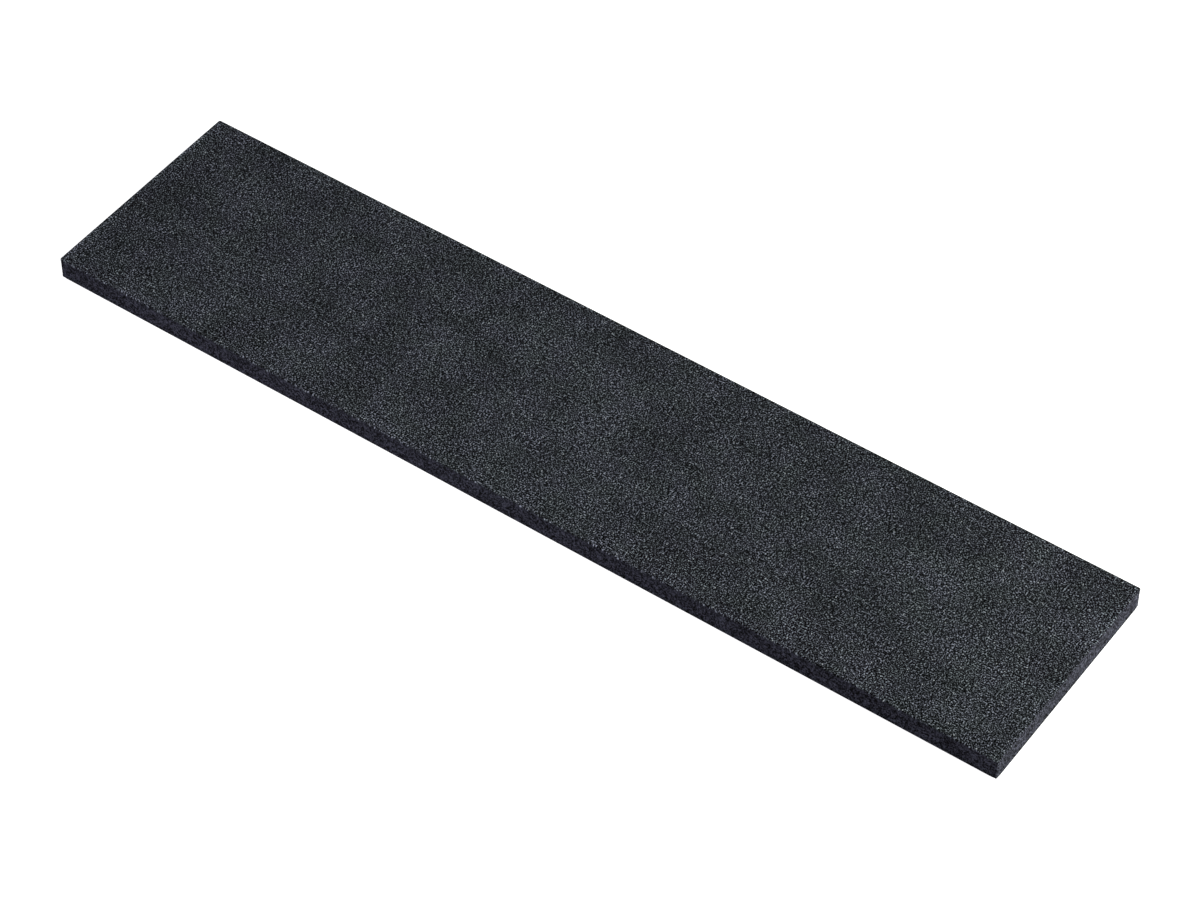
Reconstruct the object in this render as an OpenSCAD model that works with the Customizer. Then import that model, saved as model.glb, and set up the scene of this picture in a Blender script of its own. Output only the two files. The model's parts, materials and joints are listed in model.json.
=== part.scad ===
// Flat wrist rest, die-cut from one laminate: a grained cover sheet and a non-slip base sheet,
// each bonded to a closed-cell foam core by an adhesive film.
// The pad lies flat, with its length along X, its depth along Y and the cover facing +Z.
// The origin is the middle of the underside. The side towards the keyboard is +Y.

/* [Outline] */
// Length of the pad, along the keyboard
pad_length = 444; // [250:1:700]
// Depth of the pad, from the desk's edge to the keyboard
pad_depth = 102; // [50:1:160]
// Radius that the cutting die leaves on the four upright corners
corner_r = 0.6; // [0.6:0.1:20]

/* [Layers] */
// Thickness of the grained cover sheet
cover_t = 1.2; // [0.6:0.1:4]
// Thickness of the foam core
core_t = 7.6; // [3:0.1:25]
// Thickness of the non-slip base sheet
base_t = 1.0; // [0.5:0.1:4]
// Thickness of each adhesive film
film_t = 0.1; // [0.05:0.05:0.5]

/* [Edges] */
// Radius that the die rolls onto the cover's upper rim
rim_r = 0.3; // [0.1:0.05:0.5]
// How far each adhesive film stops short of the cut edge
film_inset = 0.3; // [0.1:0.05:0.5]

/* [Hidden] */
$fn = 48;

// Heights of the underside of each layer, stacked face to face from the desk up
base_z = 0;
base_film_z = base_z + base_t;
core_z = base_film_z + film_t;
cover_film_z = core_z + core_t;
cover_z = cover_film_z + film_t;

cover_colour = [0.17, 0.18, 0.20];
core_colour = [0.12, 0.12, 0.16];
film_colour = [0.22, 0.21, 0.19];
base_colour = [0.09, 0.09, 0.10];

// Rounded rectangle, with true arcs at its corners.
module pad_outline(inset = 0) {
    length = pad_length - 2 * inset;
    depth = pad_depth - 2 * inset;
    r = corner_r - inset;
    square([length - 2 * r, depth], center = true);
    square([length, depth - 2 * r], center = true);
    for (x = [-1, 1], y = [-1, 1])
        translate([x * (length / 2 - r), y * (depth / 2 - r)])
            circle(r);
}

// One flat layer of the pad.
module layer(thickness, inset = 0) {
    linear_extrude(thickness)
        pad_outline(inset);
}

// Upright section through a cover sheet of this width, with its upper corners rolled over.
module cover_section(width) {
    intersection() {
        translate([-width / 2, 0])
            square([width, cover_t]);
        union() {
            translate([-width / 2, 0])
                square([width, cover_t - rim_r]);
            translate([-width / 2 + rim_r, 0])
                square([width - 2 * rim_r, cover_t]);
            for (side = [-1, 1])
                translate([side * (width / 2 - rim_r), cover_t - rim_r])
                    circle(rim_r);
        }
    }
}

// A straight run of the cover's section, lying along X and centred on the origin.
module cover_run(length, width) {
    translate([-length / 2, 0, 0])
        rotate([90, 0, 90])
            linear_extrude(length)
                cover_section(width);
}

// A round post with the same rolled rim, which turns each corner of the cover.
module cover_corner() {
    rotate_extrude()
        intersection() {
            cover_section(2 * corner_r);
            square([corner_r, cover_t]);
        }
}

// The wrist rests on this sheet.
module cover_sheet() {
    straight_x = pad_length - 2 * corner_r;
    straight_y = pad_depth - 2 * corner_r;
    color(cover_colour)
        translate([0, 0, cover_z]) {
            cover_run(straight_x, pad_depth);
            rotate([0, 0, 90])
                cover_run(straight_y, pad_length);
            for (x = [-1, 1], y = [-1, 1])
                translate([x * straight_x / 2, y * straight_y / 2, 0])
                    cover_corner();
        }
}

// Bonds the cover to the core.
module cover_film() {
    color(film_colour)
        translate([0, 0, cover_film_z])
            layer(film_t, inset = film_inset);
}

// Gives the pad its height and its give.
module foam_core() {
    color(core_colour)
        translate([0, 0, core_z])
            layer(core_t);
}

// Bonds the core to the base.
module base_film() {
    color(film_colour)
        translate([0, 0, base_film_z])
            layer(film_t, inset = film_inset);
}

// Keeps the pad from sliding on the desk.
module base_sheet() {
    color(base_colour)
        translate([0, 0, base_z])
            layer(base_t);
}

cover_sheet();
cover_film();
foam_core();
base_film();
base_sheet();
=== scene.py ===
import json
import math

import bpy
import numpy as np
from mathutils import Matrix, Vector

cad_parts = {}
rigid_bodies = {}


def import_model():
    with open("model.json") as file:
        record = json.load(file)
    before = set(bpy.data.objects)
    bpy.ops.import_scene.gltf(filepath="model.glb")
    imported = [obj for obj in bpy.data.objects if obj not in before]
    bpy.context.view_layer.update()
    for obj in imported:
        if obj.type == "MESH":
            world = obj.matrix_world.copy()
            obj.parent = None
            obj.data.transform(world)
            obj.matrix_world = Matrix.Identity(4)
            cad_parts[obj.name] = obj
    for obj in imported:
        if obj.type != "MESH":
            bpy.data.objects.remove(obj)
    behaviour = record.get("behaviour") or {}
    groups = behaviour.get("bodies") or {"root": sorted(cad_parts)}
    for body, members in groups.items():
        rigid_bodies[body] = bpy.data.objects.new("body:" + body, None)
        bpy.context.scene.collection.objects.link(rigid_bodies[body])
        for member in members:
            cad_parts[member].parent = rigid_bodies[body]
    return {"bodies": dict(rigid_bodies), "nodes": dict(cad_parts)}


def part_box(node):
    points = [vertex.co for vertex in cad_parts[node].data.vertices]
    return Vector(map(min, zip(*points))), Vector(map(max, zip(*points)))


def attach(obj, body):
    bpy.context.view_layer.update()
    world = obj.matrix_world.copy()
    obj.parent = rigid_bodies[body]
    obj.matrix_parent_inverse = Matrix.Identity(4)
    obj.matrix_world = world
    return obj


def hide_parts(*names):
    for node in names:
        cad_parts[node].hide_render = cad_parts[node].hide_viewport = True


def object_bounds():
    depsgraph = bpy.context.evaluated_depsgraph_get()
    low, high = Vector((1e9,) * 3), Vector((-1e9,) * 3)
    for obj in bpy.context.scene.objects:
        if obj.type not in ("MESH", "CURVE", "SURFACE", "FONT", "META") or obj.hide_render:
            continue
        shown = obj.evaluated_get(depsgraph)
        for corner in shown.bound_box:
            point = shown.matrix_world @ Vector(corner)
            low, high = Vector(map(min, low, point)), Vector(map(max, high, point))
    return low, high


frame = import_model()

# A flat wrist rest: a grained cover on a foam slab with a waffled, non-slip base.
# Lengths are in metres, as in the frame. MM turns millimetres into them.
MM = 0.001

cad_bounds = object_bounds()
PAD_LOW, PAD_HIGH = cad_bounds
PAD_LENGTH = PAD_HIGH.x - PAD_LOW.x
HALF_LENGTH = PAD_LENGTH / 2
HALF_DEPTH = (PAD_HIGH.y - PAD_LOW.y) / 2
CORNER_RADIUS = 0.6 * MM
RIM_RADIUS = 0.3 * MM
BODY = next(iter(frame["bodies"]))


# ---------------------------------------------------------------- camera

CAMERA_AZIMUTH = math.radians(35.17)
CAMERA_ELEVATION = math.radians(47.15)
CAMERA_ROLL = math.radians(0.366)
CAMERA_LENS = 119.27
CAMERA_DISTANCE = 3.4888 * PAD_LENGTH
CAMERA_TARGET = Vector((0.02494, -0.00472, 0)) * PAD_LENGTH


def direction(azimuth, elevation):
    """Unit vector from the pad towards something seen at these angles; azimuth 0 is the front."""
    level = math.cos(elevation)
    return Vector((math.sin(azimuth) * level, -math.cos(azimuth) * level, math.sin(elevation)))


def make_camera():
    data = bpy.data.cameras.new("camera")
    data.lens = CAMERA_LENS
    camera = bpy.data.objects.new("camera", data)
    bpy.context.scene.collection.objects.link(camera)
    back = direction(CAMERA_AZIMUTH, CAMERA_ELEVATION)
    turn = (-back).to_track_quat("-Z", "Y").to_matrix() @ Matrix.Rotation(CAMERA_ROLL, 3, "Z")
    camera.matrix_world = Matrix.LocRotScale(CAMERA_TARGET + back * CAMERA_DISTANCE, turn, None)
    bpy.context.scene.camera = camera


make_camera()


# ---------------------------------------------------------------- node helpers


def add(tree, kind, inputs=None, **settings):
    """Adds a node. inputs maps a socket's name or number to a value, or to a socket to link from."""
    node = tree.nodes.new(kind)
    for name, value in settings.items():
        setattr(node, name, value)
    for name, value in (inputs or {}).items():
        if isinstance(value, bpy.types.NodeSocket):
            tree.links.new(value, node.inputs[name])
        else:
            node.inputs[name].default_value = value
    return node


def maths(tree, operation, *values):
    """A Math node's result."""
    return add(tree, "ShaderNodeMath", dict(enumerate(values)), operation=operation).outputs[0]


def vector_maths(tree, operation, *values):
    """A Vector Math node's vector."""
    node = add(tree, "ShaderNodeVectorMath", dict(enumerate(values)), operation=operation)
    return node.outputs["Vector"]


def scaled(tree, vector, factor):
    """A vector, or a colour, times a factor."""
    node = add(tree, "ShaderNodeVectorMath", {0: vector, "Scale": factor}, operation="SCALE")
    return node.outputs["Vector"]


def parts_of(tree, vector):
    """The X, Y and Z of a vector."""
    return add(tree, "ShaderNodeSeparateXYZ", {0: vector}).outputs


def compared(tree, a, operation, b):
    """Whether number a is LESS_THAN or GREATER_THAN number b."""
    return add(tree, "FunctionNodeCompare", {0: a, 1: b}, operation=operation).outputs[0]


def spread(tree, value, low, high, new_low=0.0, new_high=1.0):
    """value taken smoothly from the range low..high to the range new_low..new_high."""
    inputs = {"Value": value, "From Min": low, "From Max": high, "To Min": new_low, "To Max": new_high}
    node = add(tree, "ShaderNodeMapRange", inputs, interpolation_type="SMOOTHSTEP")
    return node.outputs["Result"]


def noise(tree, position, size, detail=0.0, dimensions="3D"):
    """Soft random blotches about this size across, from 0 to 1. In 2D they ignore the height."""
    inputs = {"Vector": position, "Scale": 1 / size, "Detail": detail}
    return add(tree, "ShaderNodeTexNoise", inputs, noise_dimensions=dimensions).outputs[0]


def moved(tree, position, offset):
    """position shifted by a fixed offset, so that two patterns of one kind don't match."""
    return vector_maths(tree, "ADD", position, offset)


# ---------------------------------------------------------------- grain of the cover

GRAIN_SIZE = 0.55 * MM
CLUMP_SIZE = 1.6 * MM
GRAIN_DEPTH = 0.17 * MM
# The height is the crumbs and the clumps in these shares, brought down by the level
CRUMB_SHARE = 1.53
CLUMP_SHARE = 0.3
GRAIN_LEVEL = -0.5
# The pattern wanders, so that its lattice doesn't line up into bands
WANDER_SIZE = 9 * MM
WANDER_REACH = 2 * MM


def wandering(tree, position, size, reach):
    """position carried off by anything up to reach, which changes over stretches of this size."""
    inputs = {"Vector": position, "Scale": 1 / size, "Detail": 0.0}
    push = add(tree, "ShaderNodeTexNoise", inputs, noise_dimensions="2D").outputs["Color"]
    return vector_maths(tree, "MULTIPLY_ADD", push, (reach, reach, 0), position)


def grain_height(tree, position):
    """Height of the cover's grain: 0 in the pits, 1 on the crests. It serves the relief and the colour."""
    position = wandering(tree, position, WANDER_SIZE, WANDER_REACH)
    crumbs = noise(tree, position, GRAIN_SIZE, dimensions="2D")
    clumps = noise(tree, moved(tree, position, (3.1, 1.7, 0)), CLUMP_SIZE, dimensions="2D")
    height = maths(tree, "MULTIPLY_ADD", crumbs, CRUMB_SHARE, GRAIN_LEVEL)
    return maths(tree, "MULTIPLY_ADD", clumps, CLUMP_SHARE, height)


def room_around(tree, position):
    """How far a place on the pad lies from the nearer end, and from the nearer long side."""
    from_middle = vector_maths(tree, "ABSOLUTE", position)
    room = parts_of(tree, vector_maths(tree, "SUBTRACT", (HALF_LENGTH, HALF_DEPTH, 0), from_middle))
    return room["X"], room["Y"]


def edge_distance(tree, position):
    """How far a place on the pad lies from the nearest of its four cut edges."""
    return maths(tree, "MINIMUM", *room_around(tree, position))


# ---------------------------------------------------------------- materials

# Soft noise keeps mostly between these two, so they count as its darkest and its lightest
NOISE_LOW, NOISE_HIGH = 0.3, 0.7

# Colours of the grain at these heights, from its pits to its crests: grain tone, with painted shade
# darkening the pits nearly to black and painted highlight on the pale crests
GRAIN_TONES_AND_PAINTED_LIGHT = (
    (0.18, (0.0001, 0.0001, 0.0001)),
    (0.33, (0.0027, 0.0030, 0.0034)),
    (0.45, (0.0102, 0.0113, 0.0129)),
    (0.66, (0.0343, 0.0380, 0.0434)),
    (0.87, (0.083, 0.092, 0.105)),
    (1.0, (0.144, 0.160, 0.182)),
)
PIT_ROUGHNESS, CREST_ROUGHNESS = 0.95, 0.6
FINE_GRAIN_SIZE = 0.3 * MM
# Broad patches from darker to lighter, and patches of tint as ranges of red, green and blue
PATCH_SIZE = 22 * MM
PATCH_SHADES = (0.79, 1.16)
TINT_SIZE = 12 * MM
TINT_SHADES = ((0.93, 1.07), (0.96, 1.04), (0.945, 1.14))
# Painted highlight: the grain is painted paler within these distances of the ends and of the long sides,
# where light catches the rim
END_HIGHLIGHT_REACH, END_HIGHLIGHT_GAIN = 4 * MM, 1.4
SIDE_HIGHLIGHT_REACH, SIDE_HIGHLIGHT_GAIN = 2.5 * MM, 1.12
# Sparse painted glints, pale specks that stand in for sparkle: a glint is at full strength over its core,
# a share of its radius, then fades out
GLINT_SPACING = 9 * MM
GLINT_RADIUS = 0.28 * MM
GLINT_CORE = 0.6
GLINT_STRENGTH = 0.7
GLINT_COLOUR = (0.27, 0.29, 0.31, 1)

# Colours of a cut face, from the walls between its cells to the cells themselves
CUT_TONES = (
    (0.3, (0.0006, 0.0006, 0.0009)),
    (0.5, (0.0074, 0.0075, 0.0111)),
    (0.95, (0.0276, 0.0281, 0.0408)),
)
CUT_ROUGHNESS = (0.95, 0.75)
CUT_CONTRAST = 1.6
CUT_LEVEL = 0.35
CUT_MOTTLE = 0.3
CUT_MOTTLE_SIZE = 3 * MM
COVER_CELL_SIZE = 0.6 * MM
FOAM_CELL_SIZE = 0.65 * MM
# A place is wholly on an end up to the first of these distances from it, and off it from the second
END_REACH = (0.2 * MM, 0.6 * MM)
# The ends' tear starts at the first of these depths below the top, and is full from the second up
TEAR_DEPTHS = (5 * MM, 1 * MM)
TORN_CONTRAST = 1.5
TORN_LEVEL = -0.05
# The grain hangs about this far over the cut, down to a ragged line, and less far on the ends
OVERHANG = 0.6 * MM
RAGGED_SIZE = 1.1 * MM
RAGGED_REACH = 2.4 * MM
RAGGED_BLUR = 0.1 * MM
END_BARE = 0.5 * MM
END_GRAIN_SHADE = 0.45

# Colours of the base's rubber, which is painted paler on the studs and darker in the grooves, as painted
# shade
BASE_TONES = (
    (0.3, (0.004, 0.004, 0.0045)),
    (0.5, (0.012, 0.012, 0.013)),
    (0.9, (0.034, 0.034, 0.037)),
)
BASE_ROUGHNESS = (0.85, 0.65)
BASE_LEVEL = -0.15
BASE_MOTTLE = 0.5
BASE_MOTTLE_SIZE = 8 * MM
PORE_SIZE = 0.5 * MM
PORE_SHARE = 0.8
STUD_HEIGHT = 0.25 * MM
# Painted shade runs from lighter on the studs' flat tops, up to the first height, to darker in the grooves
STUD_TOP_HEIGHT = 0.02 * MM
STUD_PAINTED_LIGHT, GROOVE_PAINTED_SHADE = 1.3, 0.35

FILM_TONES = ((0.3, (0.014, 0.013, 0.012)), (0.7, (0.035, 0.032, 0.027)))
FILM_ROUGHNESS = (0.5, 0.8)
SMEAR_SIZE = 3 * MM


def new_material(name):
    """An empty material, its node tree and the object coordinates."""
    material = bpy.data.materials.new(name)
    material.use_nodes = True
    tree = material.node_tree
    return material, tree, add(tree, "ShaderNodeTexCoord").outputs["Object"]


def finish_surface(tree, colour, roughness, specular, relief, strength, depth):
    """Gives the surface its colour, roughness and gloss, and a fine relief of this depth."""
    shader = tree.nodes["Principled BSDF"]
    bump = add(tree, "ShaderNodeBump", {"Strength": strength, "Distance": depth, "Height": relief})
    tree.links.new(colour, shader.inputs["Base Color"])
    tree.links.new(roughness, shader.inputs["Roughness"])
    tree.links.new(bump.outputs[0], shader.inputs["Normal"])
    shader.inputs["Specular IOR Level"].default_value = specular


def ramp(tree, value, stops):
    """A colour that runs through stops, each (place, (r, g, b))."""
    node = add(tree, "ShaderNodeValToRGB", {"Fac": value})
    elements = node.color_ramp.elements
    while len(elements) < len(stops):
        elements.new(0.5)
    for element, (place, colour) in zip(elements, stops):
        element.position = place
        element.color = (*colour, 1)
    return node.outputs["Color"]


def blend(tree, mode, factor, a, b):
    """Two colours mixed in this mode."""
    node = add(tree, "ShaderNodeMix", {0: factor, 6: a, 7: b}, data_type="RGBA", blend_type=mode)
    return node.outputs[2]


def grey(level):
    return (level, level, level, 1)


def grain_colour_and_painted_light(tree, position, height):
    """Charcoal grain mottled in broad soft patches, with painted shade in its near-black pits, painted
    highlight on its pale crests and along the rim, and painted glints.
    """
    # The ramp paints shade into the pits and highlight onto the crests, over the grain's own tone
    colour = ramp(tree, height, GRAIN_TONES_AND_PAINTED_LIGHT)
    patches = noise(tree, moved(tree, position, (0.7, 0.2, 0)), PATCH_SIZE, detail=2.0)
    shade = spread(tree, patches, NOISE_LOW, NOISE_HIGH, *PATCH_SHADES)
    # Painted highlight along the rim: paler towards the ends and the long sides
    to_end, to_side = room_around(tree, position)
    shade = maths(tree, "MULTIPLY", shade, spread(tree, to_end, 0.0, END_HIGHLIGHT_REACH, END_HIGHLIGHT_GAIN, 1.0))
    shade = maths(tree, "MULTIPLY", shade, spread(tree, to_side, 0.0, SIDE_HIGHLIGHT_REACH, SIDE_HIGHLIGHT_GAIN, 1.0))
    tint = noise(tree, moved(tree, position, (0.2, 0.6, 0)), TINT_SIZE, detail=2.0)
    tones = [spread(tree, tint, NOISE_LOW, NOISE_HIGH, *ends) for ends in TINT_SHADES]
    channels = {k: maths(tree, "MULTIPLY", shade, tone) for k, tone in enumerate(tones)}
    shade_colour = add(tree, "ShaderNodeCombineColor", channels).outputs[0]
    colour = blend(tree, "MULTIPLY", 1.0, colour, shade_colour)
    # Painted glints: sparse pale specks mixed into the colour
    inputs = {"Vector": position, "Scale": 1 / GLINT_SPACING}
    to_glint = add(tree, "ShaderNodeTexVoronoi", inputs, voronoi_dimensions="2D").outputs["Distance"]
    radius = GLINT_RADIUS / GLINT_SPACING
    painted_glint = spread(tree, to_glint, GLINT_CORE * radius, radius, GLINT_STRENGTH, 0.0)
    return blend(tree, "MIX", painted_glint, colour, GLINT_COLOUR)


def grained_cover_material():
    """The cover's face: matt grained rubber."""
    material, tree, position = new_material("grained_cover")
    height = grain_height(tree, position)
    colour = grain_colour_and_painted_light(tree, position, height)
    rough = spread(tree, height, 0.0, 1.0, PIT_ROUGHNESS, CREST_ROUGHNESS)
    fine = noise(tree, position, FINE_GRAIN_SIZE, detail=1.0)
    finish_surface(tree, colour, rough, specular=0.02, relief=fine, strength=0.35, depth=0.06 * MM)
    return material


def cellular_material(name, cell_size, grain_above=None):
    """A cut face of blown rubber or foam: fine cells, dark walls between them and a soft mottle,
    torn more coarsely towards the top of the two ends.
    Above the height grain_above the cover's grain hangs over it, along a ragged line."""
    material, tree, position = new_material(name)
    cells = noise(tree, position, cell_size, detail=1.0)
    mottle = noise(tree, moved(tree, position, (0.1, 0.4, 0.8)), CUT_MOTTLE_SIZE, detail=1.0)
    z = parts_of(tree, position)["Z"]
    to_end, _ = room_around(tree, position)
    on_end = spread(tree, to_end, *END_REACH, 1.0, 0.0)
    tear = spread(tree, z, *[PAD_HIGH.z - depth for depth in TEAR_DEPTHS])
    torn = maths(tree, "MULTIPLY", on_end, tear)
    contrast = maths(tree, "MULTIPLY_ADD", torn, TORN_CONTRAST, CUT_CONTRAST)
    tone = maths(tree, "MULTIPLY", contrast, maths(tree, "SUBTRACT", cells, 0.5))
    tone = maths(tree, "MULTIPLY_ADD", torn, TORN_LEVEL, tone)
    tone = maths(tree, "ADD", maths(tree, "MULTIPLY_ADD", mottle, CUT_MOTTLE, CUT_LEVEL), tone)
    colour = ramp(tree, tone, CUT_TONES)
    if grain_above is not None:
        grain = grain_colour_and_painted_light(tree, position, grain_height(tree, position))
        grain = scaled(tree, grain, spread(tree, on_end, 0.0, 1.0, 1.0, END_GRAIN_SHADE))
        ragged = noise(tree, moved(tree, position, (0.5, 0.5, 0.5)), RAGGED_SIZE, detail=1.0)
        lowest = grain_above - RAGGED_REACH / 2
        line = maths(tree, "MULTIPLY_ADD", ragged, RAGGED_REACH, lowest)
        line = maths(tree, "ADD", line, maths(tree, "MULTIPLY", on_end, END_BARE))
        above = spread(tree, maths(tree, "SUBTRACT", z, line), -RAGGED_BLUR, RAGGED_BLUR)
        colour = blend(tree, "MIX", above, colour, grain)
    rough = spread(tree, cells, NOISE_LOW, NOISE_HIGH, *CUT_ROUGHNESS)
    finish_surface(tree, colour, rough, specular=0.02, relief=cells, strength=0.5, depth=0.1 * MM)
    return material


def base_rubber_material():
    """The base's underside: dull black rubber, painted paler on the studs and darker in the grooves, as
    painted shade.
    """
    material, tree, position = new_material("non_slip_base")
    pores = noise(tree, position, PORE_SIZE, detail=1.0)
    mottle = noise(tree, moved(tree, position, (0.3, 0.9, 0.6)), BASE_MOTTLE_SIZE, detail=2.0)
    tone = maths(tree, "MULTIPLY_ADD", pores, PORE_SHARE, BASE_LEVEL)
    tone = maths(tree, "MULTIPLY_ADD", mottle, BASE_MOTTLE, tone)
    z = parts_of(tree, position)["Z"]
    # Painted shade: lighter on the studs' tops, darker down in the grooves
    shade = spread(tree, z, STUD_TOP_HEIGHT, STUD_HEIGHT, STUD_PAINTED_LIGHT, GROOVE_PAINTED_SHADE)
    colour = scaled(tree, ramp(tree, tone, BASE_TONES), shade)
    rough = spread(tree, pores, NOISE_LOW, NOISE_HIGH, *BASE_ROUGHNESS)
    finish_surface(tree, colour, rough, specular=0.2, relief=pores, strength=0.4, depth=0.05 * MM)
    return material


def film_material():
    """Dried contact adhesive: dull, faintly amber and uneven."""
    material, tree, position = new_material("adhesive_film")
    smears = noise(tree, position, SMEAR_SIZE, detail=3.0)
    colour = ramp(tree, smears, FILM_TONES)
    rough = spread(tree, smears, NOISE_LOW, NOISE_HIGH, *FILM_ROUGHNESS)
    finish_surface(tree, colour, rough, specular=0.5, relief=smears, strength=0.3, depth=0.02 * MM)
    return material


COVER_FACE = grained_cover_material()
COVER_EDGE = cellular_material("cover_cut_edge", COVER_CELL_SIZE, PAD_HIGH.z - OVERHANG)
FOAM = cellular_material("foam", FOAM_CELL_SIZE)
BASE_RUBBER = base_rubber_material()
FILM = film_material()


# ---------------------------------------------------------------- slabs


def new_piece(name, vertices, faces):
    mesh = bpy.data.meshes.new(name)
    mesh.from_pydata(vertices, [], faces)
    piece = bpy.data.objects.new(name, mesh)
    bpy.context.scene.collection.objects.link(piece)
    return piece


def on_outline(across, along, inset, height):
    """Places points of a square from -1 to 1 on the pad's rounded rectangle, drawn in by inset."""
    half_x, half_y = HALF_LENGTH - inset, HALF_DEPTH - inset
    radius = CORNER_RADIUS - inset
    x, y = across * half_x, along * half_y
    past_x, past_y = np.abs(x) - (half_x - radius), np.abs(y) - (half_y - radius)
    in_corner = (past_x > 0) & (past_y > 0)
    reach = np.where(in_corner, np.hypot(past_x, past_y), 1)
    pull = np.where(in_corner, np.maximum(past_x, past_y) / reach, 1)
    x = np.where(in_corner, np.sign(x) * (half_x - radius + past_x * pull), x)
    y = np.where(in_corner, np.sign(y) * (half_y - radius + past_y * pull), y)
    return np.stack([x, y, np.full(x.shape, height)], -1)


def once_round(columns, rows):
    """The places along the rim of a grid, once round from its first corner."""
    front = [(k, 0) for k in range(columns)]
    right = [(columns, k) for k in range(rows)]
    back = [(k, rows) for k in range(columns, 0, -1)]
    left = [(0, k) for k in range(rows, 0, -1)]
    return tuple(np.array(front + right + back + left).T)


def slab(name, levels, pitch, gridded):
    """A closed slab. levels runs from one face to the other as (inset, height) of each ring.
    The first face is a grid of this pitch where gridded is set, and the last is one flat face."""
    columns = 2 * round(HALF_LENGTH / pitch)
    rows = 2 * round(HALF_DEPTH / pitch)
    i, j = np.meshgrid(np.arange(columns + 1), np.arange(rows + 1), indexing="ij")
    across, along = i / columns * 2 - 1, j / rows * 2 - 1
    rim = once_round(columns, rows)
    rings = [on_outline(across[rim], along[rim], *level) for level in levels]
    count = len(rings[0])
    if gridded:
        first = on_outline(across, along, *levels[0]).reshape(-1, 3)
        index = np.arange(len(first)).reshape(across.shape)
        corners = (index[:-1, :-1], index[1:, :-1], index[1:, 1:], index[:-1, 1:])
        faces = np.stack(corners, 2).reshape(-1, 4).tolist()
        upper = index[rim]
    else:
        first = rings[0]
        faces = [list(range(count))]
        upper = np.arange(count)
    for k in range(len(levels) - 1):
        lower = len(first) + k * count + np.arange(count)
        faces += np.stack([upper, lower, np.roll(lower, -1), np.roll(upper, -1)], 1).tolist()
        upper = lower
    faces.append(upper[::-1].tolist())
    if levels[0][1] < levels[-1][1]:
        faces = [face[::-1] for face in faces]
    return new_piece(name, np.concatenate([first, *rings[1:]]).tolist(), faces)


# ---------------------------------------------------------------- geometry node trees

FLOAT, MATERIAL = "NodeSocketFloat", "NodeSocketMaterial"
SHARP_ANGLE = math.radians(50)
# The cover's rim takes the cut edge's finish over this many times its radius
RIM_SHARE = 1.5
# Width of the foam's hollows
HOLLOW_SIZE = 1.1 * MM
# A face looks straight down where its normal's Z is below this
FACING_DOWN = -0.9
# An upright face lies nearer to the outline than this, also where it turns a corner
WALL_REACH = 0.25 * MM


def new_tree(name, inputs):
    """A geometry tree with a mesh in, a mesh out and these inputs, each name: (socket type, value)."""
    tree = bpy.data.node_groups.new(name, "GeometryNodeTree")
    tree.interface.new_socket("Mesh", in_out="INPUT", socket_type="NodeSocketGeometry")
    tree.interface.new_socket("Mesh", in_out="OUTPUT", socket_type="NodeSocketGeometry")
    for label, (kind, _) in inputs.items():
        tree.interface.new_socket(label, in_out="INPUT", socket_type=kind)
    position = add(tree, "GeometryNodeInputPosition").outputs[0]
    return tree, tree.nodes.new("NodeGroupInput").outputs, position


def finish_tree(tree, mesh, paints):
    """Ends a tree: realizes it and sets the material of each selection in paints."""
    mesh = add(tree, "GeometryNodeRealizeInstances", {0: mesh}).outputs[0]
    for material, selection in paints:
        inputs = {"Geometry": mesh, "Material": material}
        if selection is not None:
            inputs["Selection"] = selection
        mesh = add(tree, "GeometryNodeSetMaterial", inputs).outputs[0]
    tree.links.new(mesh, tree.nodes.new("NodeGroupOutput").inputs[0])


def run_tree(piece, tree, inputs):
    """Runs the tree on the piece once and keeps the result as its plain mesh."""
    modifier = piece.modifiers.new(tree.name, "NODES")
    modifier.node_group = tree
    sockets = {s.name: s.identifier for s in tree.interface.items_tree if s.in_out == "INPUT"}
    for label, (_, value) in inputs.items():
        modifier[sockets[label]] = value
    view = bpy.context.evaluated_depsgraph_get()
    mesh = bpy.data.meshes.new_from_object(piece.evaluated_get(view), depsgraph=view)
    piece.modifiers.remove(modifier)
    old = piece.data
    piece.data = mesh
    bpy.data.meshes.remove(old)
    mesh.name = piece.name
    mesh.set_sharp_from_angle(angle=SHARP_ANGLE)


def moved_smooth(tree, mesh, offset):
    """The mesh with each of its points moved by offset, and shaded smooth."""
    mesh = add(tree, "GeometryNodeSetPosition", {0: mesh, "Offset": offset}).outputs[0]
    return add(tree, "GeometryNodeSetShadeSmooth", {0: mesh}).outputs[0]


def grain_tree(inputs):
    """Sinks the pits of the grain into the cover's face, and leaves its rolled rim smooth."""
    tree, given, position = new_tree("press_grain", inputs)
    to_edge = edge_distance(tree, position)
    share = spread(tree, to_edge, given["Rim radius"], given["Smooth border"])
    pit = maths(tree, "SUBTRACT", 1.0, grain_height(tree, position))
    pit = maths(tree, "MINIMUM", maths(tree, "MAXIMUM", pit, 0.0), 1.0)
    sink = maths(tree, "MULTIPLY", maths(tree, "MULTIPLY", pit, share), given["Grain depth"])
    offset = add(tree, "ShaderNodeCombineXYZ", {"Z": maths(tree, "MULTIPLY", sink, -1.0)}).outputs[0]
    mesh = moved_smooth(tree, given["Mesh"], offset)
    rim_reach = maths(tree, "MULTIPLY", given["Rim radius"], RIM_SHARE)
    rim = compared(tree, to_edge, "LESS_THAN", rim_reach)
    finish_tree(tree, mesh, [(given["Face material"], None), (given["Edge material"], rim)])
    return tree


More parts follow.
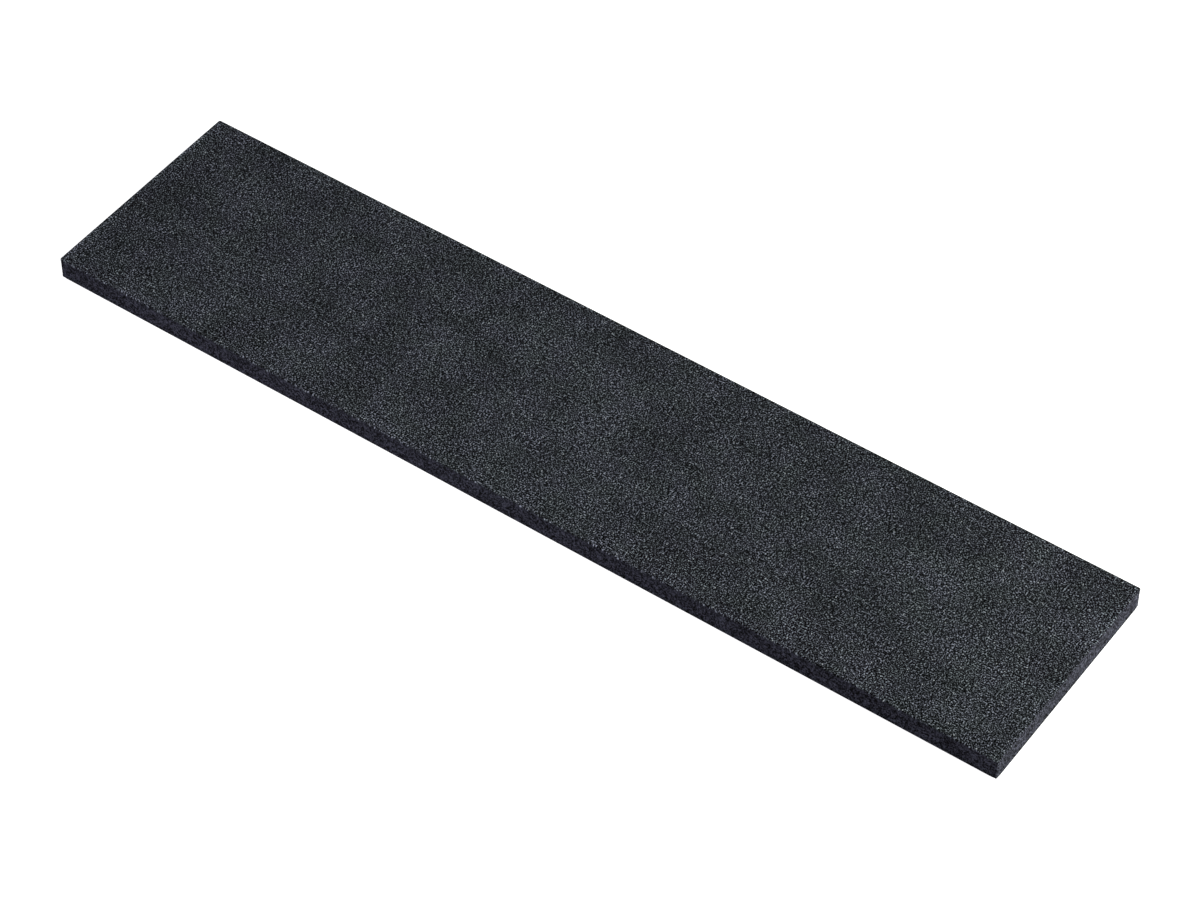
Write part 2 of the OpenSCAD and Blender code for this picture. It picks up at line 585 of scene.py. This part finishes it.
def cell_tree(inputs):
    """Opens the foam's cut cells: small hollows pushed into the upright faces."""
    tree, given, position = new_tree("open_cells", inputs)
    normal = add(tree, "GeometryNodeInputNormal").outputs[0]
    outward = vector_maths(tree, "NORMALIZE", vector_maths(tree, "MULTIPLY", normal, (1, 1, 0)))
    depth = maths(tree, "MULTIPLY", noise(tree, position, HOLLOW_SIZE, detail=1.0), given["Cell depth"])
    offset = scaled(tree, outward, maths(tree, "MULTIPLY", depth, -1.0))
    finish_tree(tree, moved_smooth(tree, given["Mesh"], offset), [(given["Material"], None)])
    return tree


def drawn_out(tree, mesh, faces, distance, share):
    """Draws each of these faces out by itself and shrinks its top to this share."""
    inputs = {"Mesh": mesh, "Selection": faces, "Offset Scale": distance, "Individual": True}
    drawn = add(tree, "GeometryNodeExtrudeMesh", inputs, mode="FACES").outputs
    inputs = {"Geometry": drawn["Mesh"], "Selection": drawn["Top"], "Scale": share}
    return add(tree, "GeometryNodeScaleElements", inputs, domain="FACE").outputs[0], drawn["Top"]


def waffle_tree(inputs):
    """Raises a small flat-topped stud from each cell of the base's underside."""
    tree, given, position = new_tree("press_waffle", inputs)
    normal = add(tree, "GeometryNodeInputNormal").outputs[0]
    under = compared(tree, parts_of(tree, normal)["Z"], "LESS_THAN", FACING_DOWN)
    half = maths(tree, "MULTIPLY", given["Stud height"], 0.5)
    raised = compared(tree, parts_of(tree, position)["Z"], "GREATER_THAN", half)
    field = add(tree, "FunctionNodeBooleanMath", {0: under, 1: raised}, operation="AND").outputs[0]
    mesh, feet = drawn_out(tree, given["Mesh"], field, 0.0, given["Stud share"])
    mesh, _ = drawn_out(tree, mesh, feet, given["Stud height"], given["Taper"])
    wall = compared(tree, edge_distance(tree, position), "LESS_THAN", WALL_REACH)
    finish_tree(tree, mesh, [(given["Face material"], None), (given["Edge material"], wall)])
    return tree


# ---------------------------------------------------------------- flat maps for the finish

# Rows of the map, in order: the shown face's two halves, the halves of the front and the back wall,
# the two ends, and the hidden faces, which get a thin row each
FACE_ROWS, WALL_ROWS, END_ROWS, HIDDEN_ROWS = 0, 2, 6, 8
HIDDEN_HEIGHT = 3 * MM
MAP_GAP = 0.8 * MM
MAP_EDGE = 0.003
# A face whose normal tilts up or down by less than this counts as upright
UPRIGHT_TILT = 0.5


def columns_of(items, name):
    """The x, the y and the z of one named vector of every item."""
    values = np.empty(len(items) * 3)
    items.foreach_get(name, values)
    return values.reshape(-1, 3).T


def counts_of(items, name):
    """One named whole number of every item."""
    values = np.empty(len(items), np.int64)
    items.foreach_get(name, values)
    return values


def lay_out_map(mesh, shown_sign):
    """Lays the mesh out flat in rows at one scale, with each long side cut at its middle.
    shown_sign is 1 where its upper face shows, -1 for its underside and 0 for its sides alone."""
    x, y, z = columns_of(mesh.vertices, "co")[:, counts_of(mesh.loops, "vertex_index")]
    middle_x, middle_y, _ = columns_of(mesh.polygons, "center")
    tilt = columns_of(mesh.polygons, "normal")[2]
    to_end, to_side = HALF_LENGTH - np.abs(middle_x), HALF_DEPTH - np.abs(middle_y)
    wall = (np.abs(tilt) < UPRIGHT_TILT) & (np.minimum(to_end, to_side) < WALL_REACH)
    shown = tilt * (shown_sign or 1) > 0
    right, back = (middle_x > 0).astype(int), (middle_y > 0).astype(int)
    row = np.select(
        [wall & (to_end < to_side), wall, shown],
        [END_ROWS + right, WALL_ROWS + 2 * back + right, FACE_ROWS + right],
        HIDDEN_ROWS,
    )
    if shown_sign == 0:
        row = np.where(wall, row, HIDDEN_ROWS + shown)
    row = np.repeat(row, counts_of(mesh.polygons, "loop_total"))
    depth = 2 * HALF_DEPTH
    face_height, second_hidden = (depth, 0.0) if shown_sign else (0.0, HIDDEN_HEIGHT)
    heights = [face_height] * 2 + [np.ptp(z)] * 6 + [HIDDEN_HEIGHT, second_hidden]
    starts = np.concatenate([[0], np.cumsum(np.array(heights) + MAP_GAP)])[:-1]
    along = np.select(
        [row < END_ROWS, row < HIDDEN_ROWS],
        [np.where(row % 2 == 1, x, x + HALF_LENGTH), y + HALF_DEPTH],
        (x + HALF_LENGTH) / 2,
    )
    up = np.select(
        [row < WALL_ROWS, row < HIDDEN_ROWS],
        [y + HALF_DEPTH, z - z.min()],
        (y + HALF_DEPTH) / depth * HIDDEN_HEIGHT,
    )
    u = MAP_EDGE + (1 - 2 * MAP_EDGE) * along / HALF_LENGTH
    v = MAP_EDGE + (1 - 2 * MAP_EDGE) * (starts[row] + up) / (starts[-1] + heights[-1])
    layer = mesh.uv_layers.new(name="OFBake", do_init=False)
    layer.uv.foreach_set("vector", np.stack([u, v], 1).astype(np.float32).ravel())


# ---------------------------------------------------------------- pieces

COVER_PITCH = 0.7 * MM
SMOOTH_BORDER = 1.4 * MM
FOAM_PITCH = 0.6 * MM
FOAM_ROWS = 13
CELL_DEPTH = 0.12 * MM
STUD_PITCH = 2.8 * MM
STUD_SHARE = 0.78
STUD_TAPER = 0.8
# A flat border lies on the desk round the studs, and slopes up to the bottom of their grooves
BORDER_WIDTH = 0.7 * MM
BORDER_SLOPE_END = 0.9 * MM


def build_cover():
    low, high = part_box("cover_sheet")
    levels = []
    for angle in (0, 30, 60, 90):
        turn = math.radians(angle)
        inset = RIM_RADIUS * (1 - math.sin(turn))
        levels.append((inset, high.z - RIM_RADIUS * (1 - math.cos(turn))))
    levels.append((0, low.z))
    piece = slab("cover", levels, COVER_PITCH, gridded=True)
    inputs = {
        "Rim radius": (FLOAT, RIM_RADIUS),
        "Smooth border": (FLOAT, SMOOTH_BORDER),
        "Grain depth": (FLOAT, GRAIN_DEPTH),
        "Face material": (MATERIAL, COVER_FACE),
        "Edge material": (MATERIAL, COVER_EDGE),
    }
    run_tree(piece, grain_tree(inputs), inputs)
    lay_out_map(piece.data, 1)
    return piece


def build_foam():
    low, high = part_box("foam_core")
    levels = [(0, high.z + (low.z - high.z) * k / FOAM_ROWS) for k in range(FOAM_ROWS + 1)]
    piece = slab("foam_slab", levels, FOAM_PITCH, gridded=False)
    inputs = {"Cell depth": (FLOAT, CELL_DEPTH), "Material": (MATERIAL, FOAM)}
    run_tree(piece, cell_tree(inputs), inputs)
    lay_out_map(piece.data, 0)
    return piece


def build_base():
    low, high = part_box("base_sheet")
    field_edge = (BORDER_SLOPE_END, low.z + STUD_HEIGHT)
    levels = [field_edge, (BORDER_WIDTH, low.z), (0, low.z), (0, high.z)]
    piece = slab("base_grip", levels, STUD_PITCH, gridded=True)
    inputs = {
        "Stud height": (FLOAT, STUD_HEIGHT),
        "Stud share": (FLOAT, STUD_SHARE),
        "Taper": (FLOAT, STUD_TAPER),
        "Face material": (MATERIAL, BASE_RUBBER),
        "Edge material": (MATERIAL, FOAM),
    }
    run_tree(piece, waffle_tree(inputs), inputs)
    lay_out_map(piece.data, -1)
    return piece


cover, foam, base = build_cover(), build_foam(), build_base()

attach(cover, BODY)
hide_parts("cover_sheet")

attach(foam, BODY)
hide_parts("foam_core")

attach(base, BODY)
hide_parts("base_sheet")

for film in ("cover_film", "base_film"):
    for material_slot in frame["nodes"][film].material_slots:
        material_slot.material = FILM


# ---------------------------------------------------------------- stage

FLOOR_REACH = 12
FLOOR_TONE = 0.35
FLOOR_GLOW = 0.85
STUDIO_COLOUR = (1.0, 0.97, 1.08, 1)
STUDIO_STRENGTH = 0.7


def make_floor():
    """A plain white table, far wider than the view."""
    around = ((-1, -1), (1, -1), (1, 1), (-1, 1))
    corners = [(x * FLOOR_REACH, y * FLOOR_REACH, 0) for x, y in around]
    floor = new_piece("floor", corners, [(0, 1, 2, 3)])
    material = bpy.data.materials.new("white_table")
    material.use_nodes = True
    shader = material.node_tree.nodes["Principled BSDF"]
    shader.inputs["Base Color"].default_value = grey(FLOOR_TONE)
    shader.inputs["Roughness"].default_value = 0.9
    shader.inputs["Specular IOR Level"].default_value = 0.1
    shader.inputs["Emission Color"].default_value = grey(1.0)
    shader.inputs["Emission Strength"].default_value = FLOOR_GLOW
    floor.data.materials.append(material)


def soft_light(name, azimuth, elevation, distance, size, power, colour=(1, 1, 1)):
    """A square soft box that faces the middle of the pad."""
    data = bpy.data.lights.new(name, "AREA")
    data.size, data.energy, data.color = size, power, colour
    light = bpy.data.objects.new(name, data)
    bpy.context.scene.collection.objects.link(light)
    towards = direction(math.radians(azimuth), math.radians(elevation))
    turn = (-towards).to_track_quat("-Z", "Y").to_matrix()
    light.matrix_world = Matrix.LocRotScale(towards * distance, turn, None)


def light_studio():
    world = bpy.data.worlds.new("studio")
    world.use_nodes = True
    background = world.node_tree.nodes["Background"]
    background.inputs["Color"].default_value = STUDIO_COLOUR
    background.inputs["Strength"].default_value = STUDIO_STRENGTH
    bpy.context.scene.world = world
    soft_light("key", azimuth=99, elevation=13, distance=1.4, size=0.4, power=82, colour=(1, 1.04, 0.9))
    soft_light("fill", azimuth=-19, elevation=22, distance=0.4, size=0.2, power=1.5)
    bpy.context.scene.view_settings.view_transform = "Standard"


make_floor()
light_studio()
